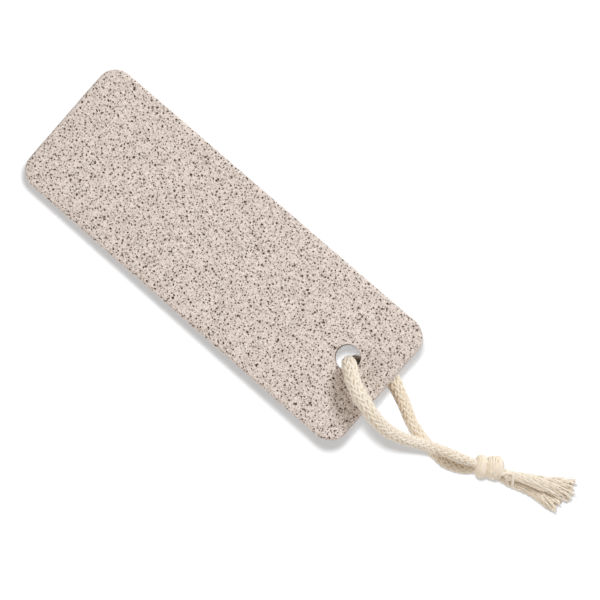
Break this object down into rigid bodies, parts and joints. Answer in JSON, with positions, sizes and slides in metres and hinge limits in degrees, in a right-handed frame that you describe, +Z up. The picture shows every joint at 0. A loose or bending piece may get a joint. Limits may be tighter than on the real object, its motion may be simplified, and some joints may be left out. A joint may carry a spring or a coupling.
{
  "type": "pumice stone",
  "caption": "Flat pumice block with rounded corners and a hole near one end, threaded with a braided cotton cord that is knotted into a hanging loop and ends in frayed tails.",
  "frame": {"origin": "on the surface that the part lies on, under the middle of the stone's outline", "axes": "+X along the stone's length towards its drilled end and the cord, +Y across it, +Z up"},
  "size_m": [0.2111, 0.0506, 0.0285],
  "materials": {
    "pumice": "matte",
    "cotton": "matte"
  },
  "bodies": {
    "root": {"pumice_stone": "pumice", "cord": "cotton", "knot": "cotton", "tail_upper": "cotton", "tail_lower": "cotton"}
  },
  "joints": []
}
